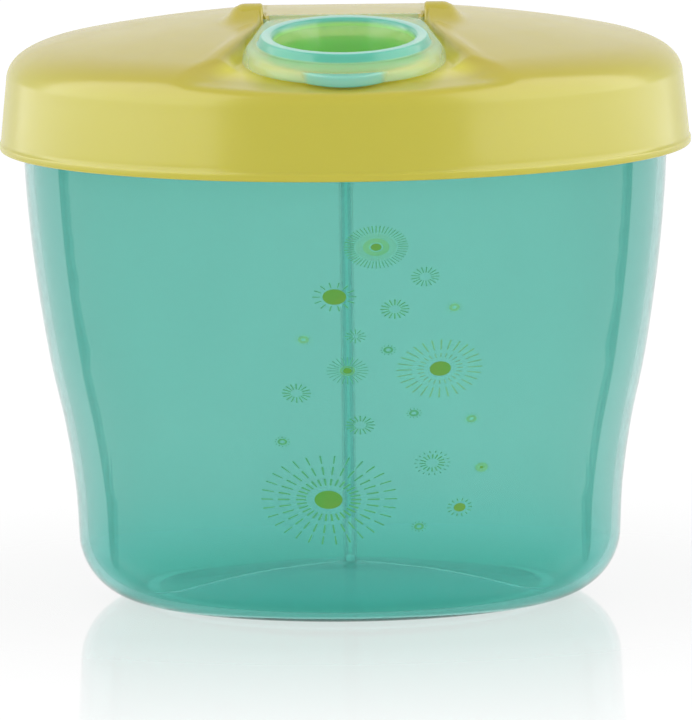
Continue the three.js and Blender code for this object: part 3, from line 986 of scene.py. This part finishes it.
class Ink:
    """Thin raised patches laid on the tub's outer side. Flat burst coordinates (across, up) become
    azimuth and distance along the side's profile."""

    def __init__(self):
        side = spline(TUB_SIDE, 200)
        self.radii = np.array([r for r, _ in side])
        self.heights = np.array([z for _, z in side])
        steps = np.hypot(np.diff(self.radii), np.diff(self.heights))
        self.run = np.concatenate(([0], np.cumsum(steps)))
        self.points = []
        self.faces = []

    def on_tub(self, azimuth, run, lift):
        """A point at a distance along the side's profile, lifted square to it."""
        r0, r, r1 = np.interp((run - 0.5, run, run + 0.5), self.run, self.radii)
        z0, z, z1 = np.interp((run - 0.5, run, run + 0.5), self.run, self.heights)
        dr, dz = r1 - r0, z1 - z0
        size = math.hypot(dr, dz)
        r += lift * dz / size
        z -= lift * dr / size
        return (r * math.sin(azimuth), -r * math.cos(azimuth), z)

    def patch(self, centre, outline):
        """A closed thin slab from a star-shaped outline of (across, up) points about its middle."""
        azimuth0, run0, radius0 = centre
        n = len(outline)
        start = len(self.points)
        mid = (sum(p[0] for p in outline) / n, sum(p[1] for p in outline) / n)
        for lift in (INK_LIFT + INK_THICK, INK_LIFT):
            for across, up in [mid, *outline]:
                self.points.append(self.on_tub(azimuth0 + across / radius0, run0 + up, lift))
        low = start + n + 1
        for i in range(n):
            j = (i + 1) % n
            self.faces.append((start, start + 1 + i, start + 1 + j))
            self.faces.append((low, low + 1 + j, low + 1 + i))
            self.faces.append((start + 1 + i, low + 1 + i, low + 1 + j, start + 1 + j))

    def centre(self, across, height):
        """Azimuth, distance along the profile and radius of a place on the side."""
        radius = float(np.interp(height, self.heights, self.radii))
        return math.asin(across / radius), float(np.interp(height, self.heights, self.run)), radius

    def dot(self, centre, wide, corners=28):
        r = wide / 2
        turns = [2 * math.pi * i / corners for i in range(corners)]
        self.patch(centre, [(r * math.cos(a), r * math.sin(a) * BURST_SQUEEZE) for a in turns])

    def band(self, centre, inner, outer, thick=INK_THICK, corners=36):
        """A closed thin ring."""
        azimuth0, run0, radius0 = centre
        start = len(self.points)
        high = INK_LIFT + thick
        for i in range(corners):
            a = 2 * math.pi * i / corners
            for r, lift in ((inner, high), (outer, high), (outer, INK_LIFT), (inner, INK_LIFT)):
                across, up = r * math.cos(a), r * math.sin(a) * BURST_SQUEEZE
                self.points.append(self.on_tub(azimuth0 + across / radius0, run0 + up, lift))
            here, after = start + 4 * i, start + 4 * ((i + 1) % corners)
            for k in range(4):
                m = (k + 1) % 4
                self.faces.append((here + k, here + m, after + m, after + k))

    def dashes(self, centre, count, inner, outer, width):
        for i in range(count):
            a = 2 * math.pi * i / count
            shape = ((inner, -0.35), (outer - width / 2, -0.5), (outer, 0),
                     (outer - width / 2, 0.5), (inner, 0.35))
            c, s = math.cos(a), math.sin(a)
            self.patch(centre, [(x * c - y * width * s, (x * s + y * width * c) * BURST_SQUEEZE)
                                for x, y in shape])


# A burst's layers, all in millimetres: a core of a width, a haze or an eye between two radii, and
# rays as (count, inner radius, outer radius, width). Pale ones are printed in the thin ink.
BURST_SQUEEZE = 0.67  # height of a burst against its width
WHEEL = [("rays", 16, 0.95, 2.35, 0.24)]
SPECK = [("eye", 0.4, 0.78), ("rays", 12, 0.95, 1.3, 0.16)]
PALE_SPECK = [("haze", 0.35, 0.9), ("pale rays", 12, 1.05, 1.4, 0.14)]
FINE_SUN = [("core", 1.7), ("haze", 1.1, 2.1), ("pale rays", 48, 2.2, 3.3, 0.13),
            ("rays", 48, 3.4, 5.1, 0.17)]
PLAIN_SUN = [("core", 3.7), ("rays", 14, 2.25, 3.5, 0.24)]
WIDE_SUN = [("core", 3.5), ("pale rays", 24, 2.75, 3.8, 0.24), ("pale rays", 28, 4.6, 7.1, 0.3)]
GREAT_SUN = [("core", 4.4), ("rays", 30, 3.5, 5.2, 0.4), ("rays", 30, 6.1, 8.1, 0.35),
             ("rays", 30, 8.8, 10.8, 0.29)]
BURSTS = [  # how far right of the middle, seen from the front, and how high up
    (4.6, 61.2, FINE_SUN),
    (12.2, 56.3, [("rays", 17, 0.95, 2.35, 0.2)]),
    (-2.0, 53.4, PLAIN_SUN),
    (7.4, 51.3, WHEEL),
    (16.7, 51.2, PALE_SPECK),
    (1.2, 47.1, [("rays", 12, 0.5, 1.7, 0.15)]),
    (-6.9, 46.6, PALE_SPECK),
    (6.3, 44.8, SPECK),
    (14.4, 41.5, WIDE_SUN),
    (-0.1, 41.6, [("core", 1.4), ("haze", 0.8, 1.2), ("rays", 24, 1.4, 3.3, 0.12)]),
    (-8.1, 38.0, WHEEL),
    (10.2, 34.5, SPECK),
    (19.2, 33.1, PALE_SPECK),
    (1.8, 32.8, WHEEL),
    (-10.4, 30.1, SPECK),
    (13.0, 26.3, [("rays", 16, 1.1, 2.15, 0.26), ("rays", 18, 2.5, 3.0, 0.17)]),
    (20.7, 25.1, [("core", 0.6), ("haze", 0.3, 1.1), ("pale rays", 12, 1.15, 1.45, 0.14)]),
    (-3.3, 20.8, GREAT_SUN),
    (17.2, 18.9, [("core", 2.0), ("rays", 14, 1.5, 2.2, 0.2)]),
    (10.8, 16.2, SPECK),
]


def build_prints():
    rays, cores, thin = Ink(), Ink(), Ink()
    for across, height, layers in BURSTS:
        centre = rays.centre(across, height)
        for kind, *sizes in layers:
            if kind == "core":
                cores.dot(centre, *sizes)
            elif kind == "eye":
                rays.band(centre, *sizes)
            elif kind == "haze":
                thin.band(centre, *sizes, HAZE_THICK)
            elif kind == "pale rays":
                thin.dashes(centre, *sizes)
            else:
                rays.dashes(centre, *sizes)
    for name, ink in (("print_rays", rays), ("print_cores", cores), ("print_thin", thin)):
        piece = mesh_object(name, ink.points, ink.faces, 60)
        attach(piece, "tub_body")
        yield piece


# ---- studio ---------------------------------------------------------------------------------

def area_light(name, place, aim, size, power, hidden_from):
    data = bpy.data.lights.new(name, "AREA")
    data.shape = "RECTANGLE"
    data.size, data.size_y = size
    data.energy = power
    light = bpy.data.objects.new(name, data)
    light.location = place
    light.rotation_euler = (Vector(aim) - Vector(place)).to_track_quat("-Z", "Y").to_euler()
    for kind in hidden_from:
        setattr(light, "visible_" + kind, False)
    bpy.context.scene.collection.objects.link(light)


FLOOR_SHINE = 0.36  # share of the floor's light that is a mirror image, close to the object
FLOOR_SHINE_FAR = 0.04
SHINE_FADE = (0.06, 0.19)  # m from the axis over which the mirror image fades
FLOOR_BLUR = 0.05  # roughness of the mirror image
FLOOR_GREY = (0.12, 0.12, 0.12, 1)  # takes the object's soft shadow
FLOOR_GLOW = 0.93  # keeps the floor white
FLOOR_SIZE = 3.0  # m from the middle to an edge


def make_floor():
    low, high = -FLOOR_SIZE, FLOOR_SIZE
    corners = [(low, low, 0), (high, low, 0), (high, high, 0), (low, high, 0)]
    mesh = bpy.data.meshes.new("studio_floor")
    mesh.from_pydata(corners, [], [(0, 1, 2, 3)])
    floor = bpy.data.objects.new("studio_floor", mesh)
    bpy.context.scene.collection.objects.link(floor)
    n = Nodes("floor_white")
    tree = n.tree
    tree.nodes.remove(n.bsdf)
    distance = n.add("ShaderNodeVectorMath", operation="LENGTH")
    n.link(n.place, distance.inputs[0])
    shine = n.spread(distance.outputs["Value"], FLOOR_SHINE, FLOOR_SHINE_FAR, *SHINE_FADE)
    white = n.add("ShaderNodeEmission")
    white.inputs["Strength"].default_value = FLOOR_GLOW
    matte = n.add("ShaderNodeBsdfDiffuse")
    matte.inputs["Color"].default_value = FLOOR_GREY
    mirror = n.add("ShaderNodeBsdfGlossy")
    mirror.inputs["Roughness"].default_value = FLOOR_BLUR
    body = n.add("ShaderNodeAddShader")
    n.link(white.outputs[0], body.inputs[0])
    n.link(matte.outputs[0], body.inputs[1])
    mix = n.add("ShaderNodeMixShader")
    n.link(shine, mix.inputs["Fac"])
    n.link(body.outputs[0], mix.inputs[1])
    n.link(mirror.outputs[0], mix.inputs[2])
    n.link(mix.outputs[0], tree.nodes["Material Output"].inputs["Surface"])
    mesh.materials.append(n.material)


def make_world():
    world = bpy.data.worlds.new("studio")
    world.use_nodes = True
    background = world.node_tree.nodes["Background"]
    background.inputs["Color"].default_value = (1, 1, 1, 1)
    background.inputs["Strength"].default_value = 1.0
    bpy.context.scene.world = world


SHEEN_POWER = 2.2  # W
SKIRT_SHEEN_POWER = 0.11
FILL_POWER = 0.8
SHEEN_ONLY = ("camera", "diffuse", "transmission")
FILL_ONLY = ("camera", "glossy", "transmission")


def make_lights():
    """Boxes at each side, in metres. The sheen that the plastic mirrors is separate from the
    soft fill, and a low strip behind the middle puts a sheen on the lid's skirt."""
    for side in (-1, 1):
        area_light("sheen_box", (side * 0.3, -0.1, 0.34), (0, -0.1, 0.34), (0.5, 0.5), SHEEN_POWER,
                   SHEEN_ONLY)
        area_light("skirt_sheen_box", (side * 0.3, 0.07, 0.07), (0, 0.07, 0.07), (0.5, 0.05),
                   SKIRT_SHEEN_POWER, SHEEN_ONLY)
        area_light("fill_box", (side * 0.4, -0.2, 0.2), (0, 0, 0.06), (0.5, 0.5), FILL_POWER,
                   FILL_ONLY)


# ---- assembly -------------------------------------------------------------------------------

def dress(piece, *materials):
    """Gives a piece its materials, in place of any empty slot left by cutting."""
    if piece.data.materials:
        piece.data.materials.clear()
    for material in materials:
        piece.data.materials.append(material)


make_camera()
make_floor()
make_world()
make_lights()

dress(build_tub(), moulded_plastic("tub_plastic", TUB_COLOUR, 0.05, 0.015, CLEAR, wave_depth=0.05,
                                   ior=1.15, painted_shade=TUB_PAINTED_SHADE, absorb=TUB_ABSORB, shine=0.2))
# The divider's second material is a painted shade along the vanes' outer edges.
dress(build_divider(),
      moulded_plastic("divider_plastic", VANE_COLOUR, 0.1, 0.015, CLEAR, ior=1.05, shine=0.2),
      moulded_plastic("divider_edge_painted_shade", VANE_SHADE_COLOUR, 0.1, 0.015, CLEAR, ior=1.05))
dress(build_seal(), moulded_plastic("seal_rubber", linear(225, 230, 224), 0.55, subsurface=0.3))
lid_plastic = glowing_lid("lid_plastic")
dress(build_disc(), lid_plastic)
dress(build_lid(), lid_plastic)
dress(build_cap(), milky_cap("cap_plastic"))
inks = (printed_ink("ray_ink", linear(58, 148, 100), linear(64, 152, 92)),
        printed_ink("core_ink", linear(66, 142, 40), linear(80, 138, 36)),
        printed_ink("thin_ink", linear(92, 180, 96), linear(106, 188, 106), 0.42))
for print_piece, ink in zip(build_prints(), inks):
    dress(print_piece, ink)

bpy.context.scene.view_settings.view_transform = "Standard"
